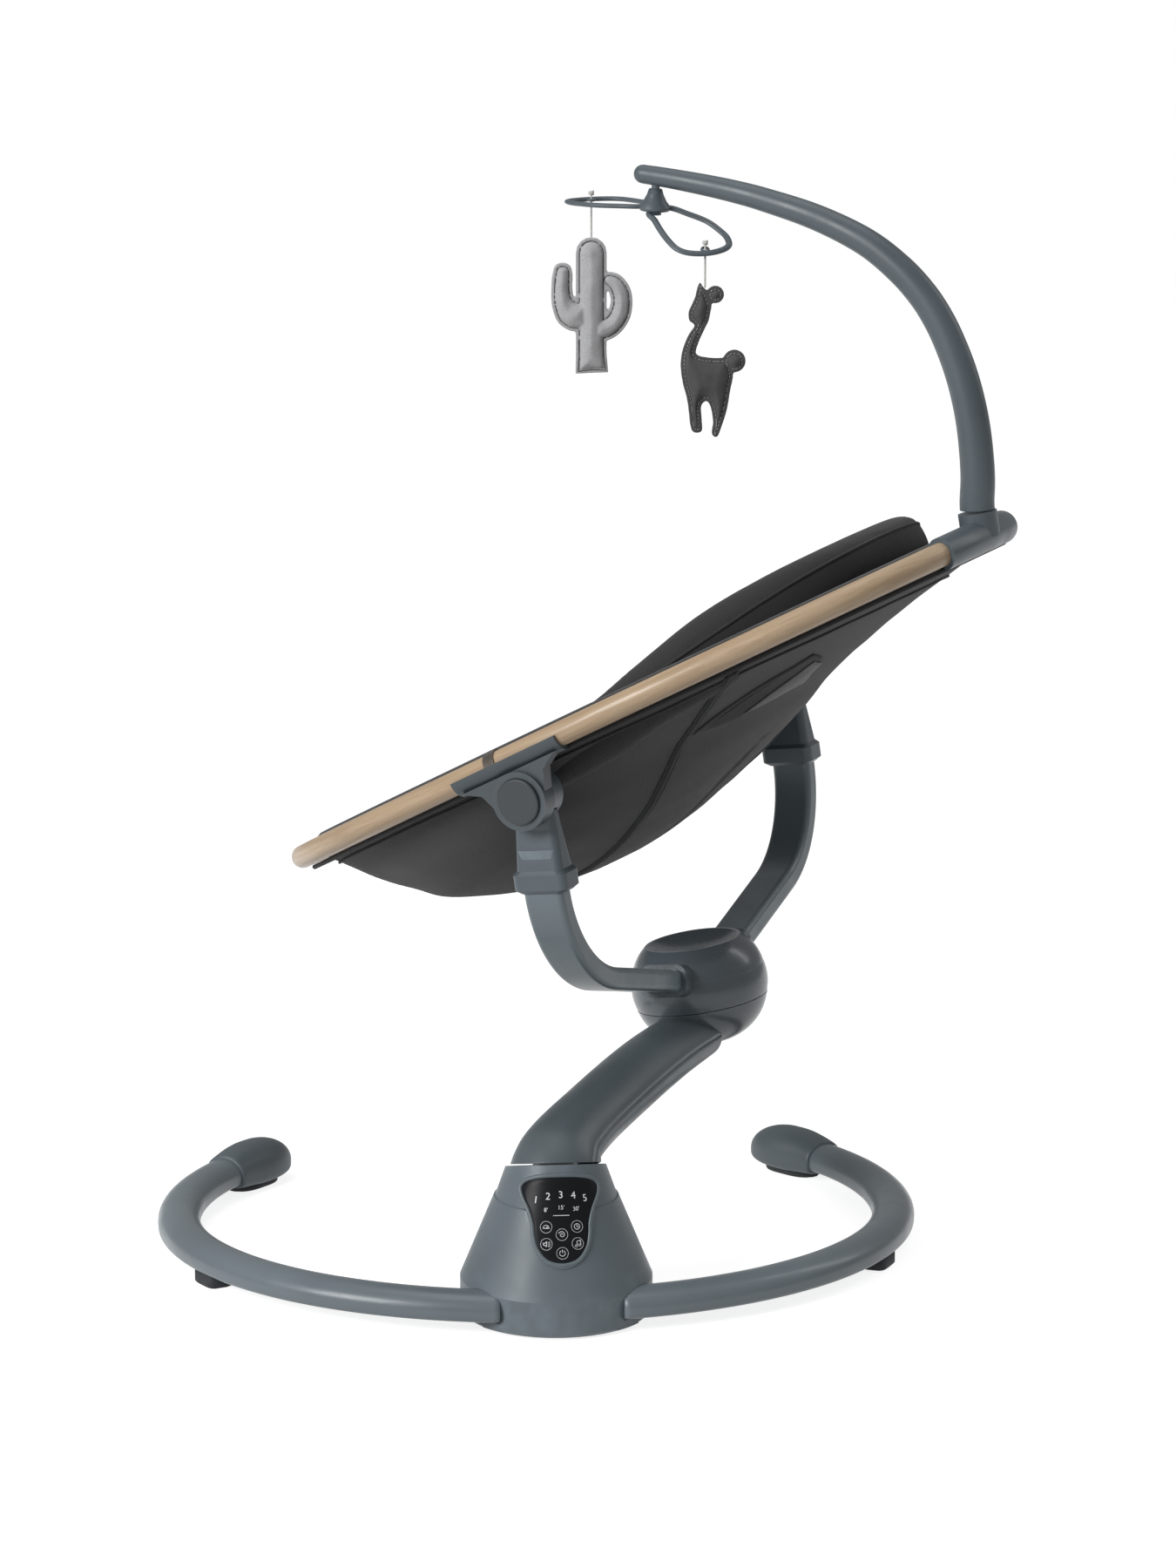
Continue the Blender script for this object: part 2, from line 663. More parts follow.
def end_rows(row, station, heading, count=5):
    """Rounded closing rows past an end section."""
    out = []
    centre = np.array([station[0], station[1], (station[2] + station[3]) / 2])
    for i in range(1, count + 1):
        a = math.pi / 2 * i / (count + 0.35)
        reach = np.array([heading.x, heading.y, 0]) * station[4] * math.sin(a) * 1.3
        out.append([tuple(centre + (np.array(p) - centre) * math.cos(a) + reach) for p in row])
    return out


rows = [cushion_section(station, heading) for station, heading in zip(stations, headings)]
rows = (
    end_rows(rows[0], stations[0], level_heading(stations[1], stations[0]))[::-1]
    + rows
    + end_rows(rows[-1], stations[-1], level_heading(stations[-2], stations[-1]))
)
head = skin("head_cushion", [[seat(*p) for p in row] for row in rows], "head", "cradle")


def swell(piece, voxel, pressure, cap):
    """Blow a closed shape up a little as stuffed cloth, with the move capped, and keep the result."""
    bpy.context.view_layer.update()
    remesh = piece.modifiers.new("remesh", "REMESH")
    remesh.mode = "VOXEL"
    remesh.voxel_size = voxel
    remesh.use_smooth_shade = True
    graph = bpy.context.evaluated_depsgraph_get()
    start = bpy.data.meshes.new_from_object(piece.evaluated_get(graph))
    piece.modifiers.remove(remesh)
    helper = bpy.data.objects.new("swell_helper", start)
    link(helper)
    cloth = helper.modifiers.new("cloth", "CLOTH")
    cloth.settings.use_pressure = True
    cloth.settings.uniform_pressure_force = pressure
    cloth.settings.effector_weights.gravity = 0
    cloth.settings.tension_stiffness = 40
    cloth.settings.compression_stiffness = 40
    cloth.settings.bending_stiffness = 4
    cloth.settings.quality = 4
    cloth.collision_settings.use_collision = False
    rest = np.empty(len(start.vertices) * 3)
    start.vertices.foreach_get("co", rest)
    rest = rest.reshape(-1, 3)
    scene = bpy.context.scene
    for number in range(1, 19):
        scene.frame_set(number)
    graph = bpy.context.evaluated_depsgraph_get()
    moved = bpy.data.meshes.new_from_object(helper.evaluated_get(graph))
    place = np.empty(len(moved.vertices) * 3)
    moved.vertices.foreach_get("co", place)
    step = place.reshape(-1, 3) - rest
    size = np.linalg.norm(step, axis=1, keepdims=True)
    step *= np.minimum(1.0, cap / np.maximum(size, 1e-9))
    start.vertices.foreach_set("co", (rest + step).ravel())
    start.update()
    scene.frame_set(1)
    old = piece.data
    materials = list(old.materials)
    bpy.data.objects.remove(helper)
    start.materials.clear()
    for material in materials:
        start.materials.append(material)
    piece.data = start
    set_smooth(start)


swell(head, 0.005, 3.0, 0.005)
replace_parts(head, "head_bolster")

SEAM_RISE = math.radians(21)
SEAT_BACK = SEAT.inverted()
tree = BVHTree.FromPolygons(
    [v.co for v in head.data.vertices], [tuple(p.vertices) for p in head.data.polygons],
)
outs = [Vector((-heading.y, heading.x, 0)) for heading in headings]
seam = []
for i, (s, y, top, bottom, _) in enumerate(stations):
    if not 3 < i < len(stations) - 4:
        continue
    ray = (outs[i] * math.cos(SEAM_RISE) + Vector((0, 0, 1)) * math.sin(SEAM_RISE)).normalized()
    centre = Vector((s, y, (top + bottom) / 2 + 2))
    start = seat(*(centre + ray * 90))
    hit = tree.ray_cast(start, (seat(*centre) - start).normalized())[0]
    if hit:
        seam.append(hit + (start - seat(*centre)).normalized() * 0.0002)
groups = [seam[max(i - 2, 0):i + 3] for i in range(len(seam))]
seam = [sum(group, Vector()) / len(group) for group in groups]
tube("head_cushion_piping", seam, 0.0014, "piping", "cradle")
head.data.materials.append(MATERIALS["gusset"])
station_spots = np.array([(s, y) for s, y, *_ in stations])
for polygon in head.data.polygons:
    spot = SEAT_BACK @ polygon.center / MM
    k = int(np.argmin(((station_spots - (spot.x, spot.y)) ** 2).sum(1)))
    s, y, top, bottom, half = stations[k]
    reach = Vector((spot.x - s, spot.y - y, 0)).dot(outs[k])
    rise = spot.z - (top + bottom) / 2 - 2
    if reach > -0.3 * half and rise < math.tan(SEAM_RISE) * max(reach, 0):
        polygon.material_index = 1

# ---------------------------------------------------------------- harness


def ribbon(name, path, width, thick, across, material, body):
    """A flat strap with rounded edges."""
    half, side_steps = width / 2, 12
    rows = []
    for i, point in enumerate(path):
        point = Vector(point)
        before, after = Vector(path[max(i - 1, 0)]), Vector(path[min(i + 1, len(path) - 1)])
        heading = (after - before).normalized()
        wide = (across - heading * across.dot(heading)).normalized()
        rise = heading.cross(wide)
        row = []
        for k in range(side_steps):
            a = 2 * math.pi * k / side_steps
            c, d = math.cos(a), math.sin(a)
            row.append(
                point + wide * half * math.copysign(abs(c) ** 0.35, c)
                + rise * thick / 2 * math.copysign(abs(d) ** 0.6, d)
            )
        rows.append(row)
    return skin(name, rows, material, body)


normal_way = (SEAT.to_3x3() @ Vector((0, 0, 1))).normalized()
side_way = (SEAT.to_3x3() @ Vector((0, 1, 0))).normalized()
WAIST_ROUTE = ((-50, 23.5, -62), (-47, 55, -60.5), (-42, 90, -57), (-32, 128, -50), (-24, 158, -42))
STRAP_WIDTH = 0.025
STRAP_THICK = 0.0024
STITCH_EDGES = {"low": -9.5, "high": 9.5}
straps = []
for side, sign in {"near": -1, "far": 1}.items():
    keys = [(s, sign * y, n) for s, y, n in WAIST_ROUTE]
    path = [seat(*p) for p in curve_points(keys, 8)]
    strap = ribbon(f"waist_strap_{side}", path, STRAP_WIDTH, STRAP_THICK, normal_way, "webbing", "cradle")
    straps.append(strap)
    for place, edge in STITCH_EDGES.items():
        line = [p + normal_way * edge * MM for p in path]
        tube(f"waist_stitch_{side}_{place}", line, 0.0016, "piping", "cradle", squash=0.9)
crotch = ribbon(
    "crotch_strap_web", [seat(-50, 0, n) for n in (-82, -88, -94, -99, -104)], STRAP_WIDTH, STRAP_THICK,
    side_way, "webbing", "cradle",
)
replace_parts(straps[0], "waist_straps")
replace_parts(crotch, "crotch_strap")

# ---------------------------------------------------------------- base ring and arm

RING_HALF_WIDTH = 288.0
RING_HALF_DEPTH = 246.0
RING_CENTRE = 199.0
RING_CREASE = 17.0             # height of the ring's widest line


def ring_spot(angle, out, height):
    """Place over the floor ring, by its angle from the front and the distance outside its centreline."""
    turn = math.radians(angle - 90)
    centre = Vector((RING_HALF_WIDTH * math.cos(turn), RING_CENTRE + RING_HALF_DEPTH * math.sin(turn), 0))
    away = Vector((math.cos(turn) / RING_HALF_WIDTH, math.sin(turn) / RING_HALF_DEPTH, 0)).normalized()
    return (centre + away * out + Vector((0, 0, height))) * MM


def ring_row(angle, half, top, low, crease, count=40):
    """One domed section across the floor ring."""
    row = []
    for k in range(count):
        a = 2 * math.pi * k / count
        c, d = math.cos(a), math.sin(a)
        if d < 0:
            c, d = math.copysign(abs(c) ** 0.5, c), -abs(d) ** 0.5
        row.append(ring_spot(angle, half * c, crease + (top - crease if d > 0 else crease - low) * d))
    return row


def floor_pad(name, sign, middle, spread, out, height, half_at):
    """A rubber pad under the ring; half_at gives its half width from one end (-1) to the other (1)."""
    section = ((-0.9, 0.1), (0.9, 0.1), (1.0, 1.5), (1.0, height), (-1.0, height), (-1.0, 1.5))
    rows = [
        [ring_spot(sign * (middle + spread * t), out + half_at(t) * x, z) for x, z in section]
        for t in np.linspace(-1, 1, 17)
    ]
    return skin(name, rows, "rubber", "base")


def sole_half(t):
    """Half width of a cap's sole."""
    return 15.5 * math.sqrt(max(0.02, 1 - abs(t) ** 3.0))


def foot_half(t):
    """Half width of a foot under the ring's side."""
    return 13.5 * (1 - abs(t) ** 6) ** 0.5 + 0.3


TUBE_FROM, TUBE_TO = 9, 124    # degrees from the front
CAP_FROM, CAP_TO = 119.5, 136.6
DOME_FROM = 0.5                # share of the cap where its end starts to round
CAP_MIDDLE = 15.0
for name, sign in {"left": -1, "right": 1}.items():
    rows = [ring_row(sign * a, 17.0, 31.0, 9.0, RING_CREASE) for a in np.linspace(TUBE_FROM, TUBE_TO, 120)]
    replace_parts(skin(f"ring_tube_{name}", rows, "ring", "base"), f"base_tube_{name}")
    rows = [
        ring_row(sign * CAP_FROM, 16.0, 30.0, 10.0, RING_CREASE),
        ring_row(sign * CAP_FROM, 18.4, 32.6, 7.0, RING_CREASE),
    ]
    for t in np.linspace(0.015, 1, 30):
        q = max(0.0, (t - DOME_FROM) / (1 - DOME_FROM))
        shrink = math.sqrt(max(0.0, 1 - (0.995 * q) ** 2))
        full = min(1.0, t / 0.4)
        half = (19.0 + 2.6 * full) * shrink
        top, low = 33.2 + 5.2 * math.sin(full * math.pi / 2), 6.5 - 3.0 * full
        rows.append(ring_row(
            sign * (CAP_FROM + (CAP_TO - CAP_FROM) * t), half, CAP_MIDDLE + (top - CAP_MIDDLE) * shrink,
            CAP_MIDDLE - (CAP_MIDDLE - low) * shrink ** 0.5, CAP_MIDDLE + 2.0 * (1 - q),
        ))
    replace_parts(skin(f"ring_cap_{name}", rows, "cap", "base"), f"end_cap_{name}")
    sole = floor_pad(f"cap_sole_{name}", sign, 127.5, 5.6, 0.0, 6.0, sole_half)
    floor_pad(f"ring_foot_{name}", sign, 63.5, 3.3, 1.5, 10.5, foot_half)
    if sign < 0:
        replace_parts(sole, "ring_feet")

ARM_ROUTE = (  # back from the tower, height, lean, half width, half height
    (4.7, 115.2, 73.6, 34.5, 34.5), (10.5, 119.5, 57.0, 33.2, 31.5), (22.0, 125.0, 36.0, 31.0, 27.5),
    (58.0, 131.8, 13.0, 29.5, 24.2), (135.0, 141.2, 7.0, 29.0, 23.8), (195.0, 146.2, 3.0, 29.0, 22.5),
    (245.0, 147.0, 0.0, 29.0, 20.0),
)
arm_line = curve_points(ARM_ROUTE, 10)
SHELL_WALL = 3.0
for name, first, gap in (("upper", 0.0, 0.25), ("lower", math.pi, -0.25)):
    rows = []
    for y, z, lean, half, high in arm_line:
        lean = math.radians(lean)
        rise = Vector((0, -math.sin(lean), math.cos(lean)))
        row = []
        for grow, turns in ((0.0, np.linspace(0, math.pi, 25)), (-SHELL_WALL, np.linspace(math.pi, 0, 25))):
            for a in turns + first:
                wide = Vector((1, 0, 0)) * (half + grow) * math.cos(a)
                tall = rise * ((high + grow) * math.sin(a) + gap)
                row.append(SWING @ ((Vector((0, y, z)) + wide + tall) * MM))
        rows.append(row)
    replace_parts(skin(f"arm_{name}", rows, "arm", "swing_arm"), f"arm_{name}_shell")

# ---------------------------------------------------------------- toy bar

BAR_PLACES = (  # out from the hub, up from the hub
    (304.9, 360.4), (305.8, 367.5), (309.0, 383.5), (311.0, 403.0), (311.8, 423.5), (311.0, 443.5),
    (308.5, 464.0), (304.0, 484.5), (297.2, 506.0), (287.0, 527.0), (271.0, 549.0), (246.0, 573.0),
    (209.0, 596.0), (168.5, 614.5), (140.0, 625.5), (111.0, 635.0), (82.5, 643.5), (66.0, 648.0),
)
bar_path = curve_points(BAR_PLACES, 6)
runs = [np.linalg.norm(b - a) for a, b in zip(bar_path, bar_path[1:])]
lengths = np.concatenate([[0], np.cumsum(runs)])
shares = lengths / lengths[-1]
TIP_RADIUS = 7.3
TIP_DOME = 7.0
bar_radii = list(np.interp(shares, (0, 0.12, 0.45, 1), (13.6, 13.2, 11.6, TIP_RADIUS)))
tip_way = (bar_path[-1] - bar_path[-2]) / np.linalg.norm(bar_path[-1] - bar_path[-2])
for angle in np.radians((20, 40, 58, 74, 86)):
    bar_path.append(bar_path[len(shares) - 1] + tip_way * TIP_DOME * math.sin(angle))
    bar_radii.append(TIP_RADIUS * math.cos(angle))
bar = tube(
    "toy_bar_cover", [SWING @ (HUB + Vector((float(x), 0, float(z))) * MM) for x, z in bar_path],
    [float(r) * MM for r in bar_radii], "bar", "toy_bar_arm", sides=36, squash=0.9,
    up=SWING.to_3x3() @ ACROSS,
)
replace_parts(bar, "toy_bar")

# ---------------------------------------------------------------- mobile toys

TOY_TURN = math.radians(4.9)
TOY_RIGHT = Vector((math.cos(TOY_TURN), -math.sin(TOY_TURN), 0))
TOY_FRONT = Vector((-math.sin(TOY_TURN), -math.cos(TOY_TURN), 0))
HANGER_TILT = math.radians(13.5)
HANGER_AT = HUB + Vector((0.072, 0, 0.622))
HANGER_X = Vector((math.cos(HANGER_TILT), 0, -math.sin(HANGER_TILT)))
HANGER_Z = Vector((math.sin(HANGER_TILT), 0, math.cos(HANGER_TILT)))
STRING_TOP = 0.0048
STRING_LENGTH = 0.034
STRING_THICK = 0.0016
FELT_HALF = 1.5
STITCH_INSET = 2.7
EYE_RADIUS = 2.6
LEAVES = {  # droop, twist and stretch of the hanger's two loops
    1: (math.radians(20.0), math.radians(25.0), 1.0),
    -1: (math.radians(3.5), 0.0, 1.1),
}
LOOP = (  # along and across one loop
    (1.5, -9.4), (9.4, -14.0), (19.7, -20.7), (30.7, -26.5), (41.6, -30.0), (51.4, -27.4), (61.5, -18.5),
    (68.1, -7.5), (69.1, 1.2), (63.0, 7.7), (53.7, 11.0), (40.6, 13.0), (24.7, 10.3), (9.0, 5.7),
)
EYE = (58.3, -15.8)


def leaf_axes(direction):
    """Along, across and normal of one loop's plane, in the swing's own frame."""
    droop, twist, _ = LEAVES[direction]
    along = HANGER_X * (direction * math.cos(droop)) - HANGER_Z * math.sin(droop)
    rise = along.cross(Vector((0, 1, 0))) * -direction
    rise = rise if rise.z > 0 else -rise
    side = Vector((0, math.cos(twist), 0)) + rise * math.sin(twist)
    return along, side, along.cross(side) * direction


def leaf_place(direction, a, w):
    """A place of one loop, in the row frame."""
    along, side, _ = leaf_axes(direction)
    return SWING @ (HANGER_AT + (along * a * LEAVES[direction][2] + side * w * direction) * MM)


def eyelet(direction):
    """Where a string passes its eyelet, in the row frame."""
    return leaf_place(direction, *EYE)


def outline_points(keys, steps=8):
    """Closed smooth outline through points, in millimetres."""
    ring = []
    count = len(keys)
    for i in range(count):
        p0, p1, p2, p3 = (np.array(keys[(i + j) % count], float) for j in (-1, 0, 1, 2))
        ring.extend(spline_spot(p0, p1, p2, p3, j / steps) for j in range(steps))
    return np.array(ring)


def circle_points(x, y, radius, count=28):
    """A round outline."""
    angles = np.linspace(0, 2 * np.pi, count, endpoint=False)
    return np.column_stack((x + radius * np.cos(angles), y + radius * np.sin(angles)))


def stroke(keys, radius, steps=8):
    """Outline of a round-ended stroke through points."""
    path = np.array(curve_points(keys, steps))
    heads = np.gradient(path, axis=0)
    heads /= np.linalg.norm(heads, axis=1, keepdims=True)
    sides = np.column_stack((-heads[:, 1], heads[:, 0]))
    ends = []
    for point, heading, start in ((path[-1], heads[-1], sides[-1]), (path[0], -heads[0], -sides[0])):
        ends.append([
            point + radius * (math.cos(a) * start + math.sin(a) * heading)
            for a in np.linspace(0, math.pi, 9)[1:-1]
        ])
    return np.array([*(path + sides * radius), *ends[0], *(path - sides * radius)[::-1], *ends[1]])


def inside(points, ring):
    """Which points lie in a closed outline."""
    x, y = points[:, 0], points[:, 1]
    hit = np.zeros(len(points), bool)
    x0, y0 = ring[:, 0], ring[:, 1]
    x1, y1 = np.roll(x0, -1), np.roll(y0, -1)
    for a, b, c, d in zip(x0, y0, x1, y1):
        if b == d:
            continue
        crosses = (b > y) != (d > y)
        hit ^= crosses & (x < (c - a) * (y - b) / (d - b) + a)
    return hit


def depth_in(points, rings):
    """Depth of each point inside the union of outlines; negative outside."""
    best = np.full(len(points), -1e9)
    for ring in rings:
        start, end = ring, np.roll(ring, -1, axis=0)
        run = end - start
        length = (run ** 2).sum(1)
        gap = points[:, None, :] - start[None]
        t = np.clip((gap * run[None]).sum(2) / np.maximum(length, 1e-9), 0, 1)
        near = gap - t[..., None] * run[None]
        distance = np.sqrt((near ** 2).sum(2)).min(1)
        best = np.maximum(best, np.where(inside(points, ring), distance, -distance))
    return best


def union_edge(rings, inset, step=0.9):
    """Points of the union's edge set inwards, walked round in order."""
    edge = []
    for ring in rings:
        start, end = ring, np.roll(ring, -1, axis=0)
        dense = np.concatenate([start + (end - start) * t for t in (0.0, 0.5)], axis=1).reshape(-1, 2)
        nxt, last = np.roll(dense, -1, axis=0), np.roll(dense, 1, axis=0)
        head_way = nxt - last
        head_way /= np.maximum(np.linalg.norm(head_way, axis=1, keepdims=True), 1e-9)
        normal = np.column_stack((-head_way[:, 1], head_way[:, 0]))
        area = 0.5 * np.sum(ring[:, 0] * np.roll(ring[:, 1], -1) - np.roll(ring[:, 0], -1) * ring[:, 1])
        moved = dense + normal * inset * (1 if area > 0 else -1)
        keep = depth_in(moved, rings) < inset + 0.6
        edge.append((moved, keep))
    return edge


def toy(name, rings, direction, plump, material, sewing):
    """A felt toy on its string: flat sewn edge, plump middle, and running stitches on both faces."""
    body = f"hanging_{name}"
    top = eyelet(direction) + Vector((0, 0, STRING_TOP))
    low = top - Vector((0, 0, STRING_LENGTH))
    place = frame_matrix(low, TOY_RIGHT, TOY_FRONT.cross(TOY_RIGHT), TOY_FRONT)
    verts, faces = [], []
    for ring in rings:
        base = len(verts)
        count = len(ring)
        for z in (-FELT_HALF, FELT_HALF):
            verts.extend((x, y, z) for x, y in ring)
        for i in range(count):
            j = (i + 1) % count
            faces.append((base + i, base + j, base + count + j, base + count + i))
        faces.append(tuple(base + i for i in reversed(range(count))))
        faces.append(tuple(base + count + i for i in range(count)))
    piece = make(name, [Vector(v) * MM for v in verts], faces, material, None)
    remesh = piece.modifiers.new("remesh", "REMESH")
    remesh.mode = "VOXEL"
    remesh.voxel_size = 0.0011
    bpy.context.view_layer.update()
    graph = bpy.context.evaluated_depsgraph_get()
    mesh = bpy.data.meshes.new_from_object(piece.evaluated_get(graph))
    piece.modifiers.remove(remesh)
    spots = np.empty(len(mesh.vertices) * 3)
    mesh.vertices.foreach_get("co", spots)
    spots = spots.reshape(-1, 3) / MM
    depth = depth_in(spots[:, :2], rings)
    crown = np.sqrt(np.clip((depth - 3.5) / 8.0, 0, 1)) * plump
    crown -= 0.5 * np.exp(-((depth - 3.0) / 0.8) ** 2)
    wobble = np.array([noise.noise(Vector((x * 0.09, y * 0.09, direction * 7.0))) for x, y, _ in spots])
    spots[:, 2] += np.sign(spots[:, 2]) * (crown * (1 + 0.22 * wobble))
    mesh.vertices.foreach_set("co", (spots * MM).ravel())
    mesh.update()
    mesh.materials.clear()
    mesh.materials.append(MATERIALS[material])
    piece.data = mesh
    set_smooth(mesh)
    piece.matrix_world = place
    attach(piece, body)
    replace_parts(piece, f"{name}_toy")

    thread, half_width, pace, gap_share = sewing
    stitch_verts, stitch_faces = [], []
    for moved, keep in union_edge(rings, STITCH_INSET):
        travelled = 0.0
        for i in range(len(moved)):
            j = (i + 1) % len(moved)
            run = float(np.linalg.norm(moved[j] - moved[i]))
            travelled += run
            if not (keep[i] and keep[j]) or run < 1e-6 or travelled % pace > pace * gap_share:
                continue
            way = (moved[j] - moved[i]) / run
            side = np.array((-way[1], way[0])) * half_width
            for face in (-1, 1):
                base = len(stitch_verts)
                for end in (moved[i], moved[j]):
                    for shift, height in ((-1, 0.9), (0, 2.15), (1, 0.9)):
                        x, y = end + side * shift
                        stitch_verts.append(Vector((x, y, face * height)) * MM)
                stitch_faces += [
                    (base, base + 1, base + 4, base + 3), (base + 1, base + 2, base + 5, base + 4),
                    (base, base + 3, base + 5, base + 2), (base, base + 2, base + 1),
                    (base + 3, base + 4, base + 5),
                ]
    stitches = make(f"{name}_stitches", stitch_verts, stitch_faces, thread, None, smooth=False)
    stitches.matrix_world = place
    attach(stitches, body)

    data = bpy.data.curves.new(f"{name}_string", "CURVE")
    data.dimensions = "3D"
    data.bevel_depth = STRING_THICK / 2
    data.bevel_resolution = 3
    spline = data.splines.new("NURBS")
    spline.points.add(3)
    for k in range(4):
        spline.points[k].co = (*(top - Vector((0, 0, STRING_LENGTH * k / 3))), 1)
    spline.order_u = 3
    spline.use_endpoint_u = True
    string = bpy.data.objects.new(f"{name}_string_cord", data)
    data.materials.append(MATERIALS["white_thread"])
    link(string)
    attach(string, body)
    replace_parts(string, f"{name}_string")
    knot = []
    for i in range(17):
        a = i / 16 * 4 * math.pi
        knot.append(top + Vector((1.5 * math.cos(a), 1.5 * math.sin(a), 1.2 * (i / 16 - 0.2) * 2)) * MM)
    tube(f"{name}_knot", knot, 0.0009, "white_thread", body, sides=6)


HUB_PROFILE = (  # radius, height
    (0.5, -3.4), (11.5, -3.2), (12.6, -1.5), (12.2, 0.4), (9.2, 4.0), (6.6, 9.0), (5.2, 13.5), (0.5, 14.0),
)
rows = []
for radius, height in HUB_PROFILE:
    row = []
    for a in (2 * math.pi * k / 32 for k in range(32)):
        flat = HANGER_X * radius * math.cos(a) + Vector((0, 1, 0)) * radius * math.sin(a)
        row.append(SWING @ (HANGER_AT + (flat + HANGER_Z * height) * MM))
    rows.append(row)
hanger_hub = skin("hanger_hub", rows, "bar", "mobile")
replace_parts(hanger_hub, "mobile_hanger")
for direction, name in ((1, "right"), (-1, "left")):
    normal = (SWING.to_3x3() @ leaf_axes(direction)[2]).normalized()
    path = [leaf_place(direction, a, w) for a, w in outline_points(LOOP, 6)]
    tube(f"hanger_loop_{name}", path, 0.0026, "bar", "mobile", closed=True, sides=14, squash=0.72, up=normal)
    ring = [leaf_place(direction, EYE[0] + x, EYE[1] + y) for x, y in circle_points(0, 0, EYE_RADIUS, 20)]
    tube(f"hanger_eye_{name}", ring, 0.0012, "bar", "mobile", closed=True, sides=8, up=normal)

cactus_rings = [
    stroke(((0, -95), (0, -60), (0, -12.3)), 12.2),
    np.array([(-12.5, -108), (13.5, -107), (11.5, -80), (-12, -80)], float),
    outline_points((
        (-31.7, -39), (-30.6, -28.9), (-28.4, -22.4), (-22.6, -20.1), (-16.8, -22.6), (-15, -28.9),
        (-15, -41.5), (-12.5, -48.5), (-2, -52), (0, -72), (-13, -74.5), (-21.4, -71.6),
        (-27.6, -65.3), (-31.4, -52.8),
    ), 5),
    outline_points((
        (7.6, -33.5), (9.5, -29), (15.1, -27.4), (23.1, -30.2), (30.2, -38.9), (32.7, -50.3),
        (30.7, -64), (23.1, -75.4), (12.6, -81.7), (0, -82), (0, -62), (8.8, -62.5), (13.4, -57.8),
        (15.4, -50.3), (13.6, -42.5), (9, -37.5),
    ), 5),
]
llama_rings = [
    outline_points([(x, y + 4.0) for x, y in (
        (-3.8, 0), (-1.5, -3.5), (1, -6.3), (5, -16.8), (4.5, -21.9), (3, -29.4), (0, -35.7), (-4.5, -45.7),
        (-6.8, -54.5), (-2.5, -57.3), (7.5, -58.5), (17.6, -59.5), (22.1, -70.9), (20.1, -83.4),
        (17.6, -98.5), (13.8, -111), (10, -120), (5.8, -117.3), (6.8, -108.5), (5, -97.2), (1.8, -92),
        (-2.3, -95.5), (-2, -106), (-2, -115.6), (-9.8, -114.8), (-12.6, -96), (-14.3, -87.2),
        (-16.8, -78.4), (-18.6, -65.8), (-18.1, -57), (-16.3, -49.5), (-12.6, -40.7), (-8, -33.9),
        (-9, -31.7), (-12, -29.4), (-12.6, -23.1),
        (-10, -16.8), (-7.5, -11), (-6, -4.3),
    )], 4),
    circle_points(8, -5.3, 6.8),
    circle_points(23.1, -56.8, 8.8),
]
toy("cactus", cactus_rings, -1, 5.2, "light_felt", ("dark_thread", 0.42, 4.2, 0.86))
toy("llama", llama_rings, 1, 4.6, "dark_felt", ("white_thread", 0.26, 3.0, 0.6))

# ---------------------------------------------------------------- control panel

PANEL_RISE = 0.9
PRINT_RISE = 0.12
TOWER_RADIUS = 73.5
TOWER_TOP_RADIUS = 38.5
DRUM_HEIGHT = 29.0
TOWER_HEIGHT = 114.0
TOWER_SLOPE = (TOWER_RADIUS - TOWER_TOP_RADIUS) / (TOWER_HEIGHT - DRUM_HEIGHT)


def on_tower(x, z, rise):
    """Place over the tower's cone, seen from the front, from millimetres."""
    radius = TOWER_RADIUS + rise - TOWER_SLOPE * (z - DRUM_HEIGHT)
    return Vector((x, -math.sqrt(radius * radius - x * x), z)) * MM


HALF_SHIELD = (  # sideways, height
    (0, 117), (13, 116), (23.5, 112.5), (28.2, 107), (27.4, 100.5), (23.6, 92.5), (21.2, 84), (20.6, 76),
    (18.4, 67.2), (11.5, 59.2), (0, 56.6),
)
shield = outline_points((*HALF_SHIELD, *((-x, z) for x, z in HALF_SHIELD[-2:0:-1])), 7)
middle = np.array((0.0, 88.0))


def shield_row(share, rise):
    """The shield's outline at a share of its size."""
    return [on_tower(*(middle + (spot - middle) * share), rise) for spot in shield]


rows = [shield_row(1.0, -3.0), shield_row(1.0, PANEL_RISE - 0.25), shield_row(0.99, PANEL_RISE)]
rows += [shield_row(k / 9, PANEL_RISE) for k in range(8, 0, -1)]
face = skin("panel_face", rows, "panel", "base")
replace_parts(face, "touch_film")
panel_lip = tube("panel_lip", shield_row(1.035, 0.1), 0.0017, "slate", "base", closed=True, sides=14)
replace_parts(panel_lip, "control_panel")


def panel_place(x, z):
    """Frame on the panel's curved face at a place seen from the front, in millimetres."""
    radius = TOWER_RADIUS + PANEL_RISE + PRINT_RISE - TOWER_SLOPE * (z - DRUM_HEIGHT)
    angle = math.asin(x / radius)
    out = Vector((math.sin(angle), -math.cos(angle), TOWER_SLOPE)).normalized()
    right = Vector((math.cos(angle), math.sin(angle), 0))
    up = out.cross(right)
    return frame_matrix(Vector((x, -radius * math.cos(angle), z)) * MM, right, up, out)


def mark_text(name, body, x, z, size):
    """Printed figure on the panel."""
    data = bpy.data.curves.new(name, "FONT")
    data.body = body
    data.size = size * MM
    data.align_x = "CENTER"
    data.align_y = "CENTER"
    data.extrude = 0.00008
    piece = bpy.data.objects.new(name, data)
    link(piece)
    piece.matrix_world = panel_place(x, z)
    data.materials.append(MATERIALS["print"])
    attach(piece, "base")


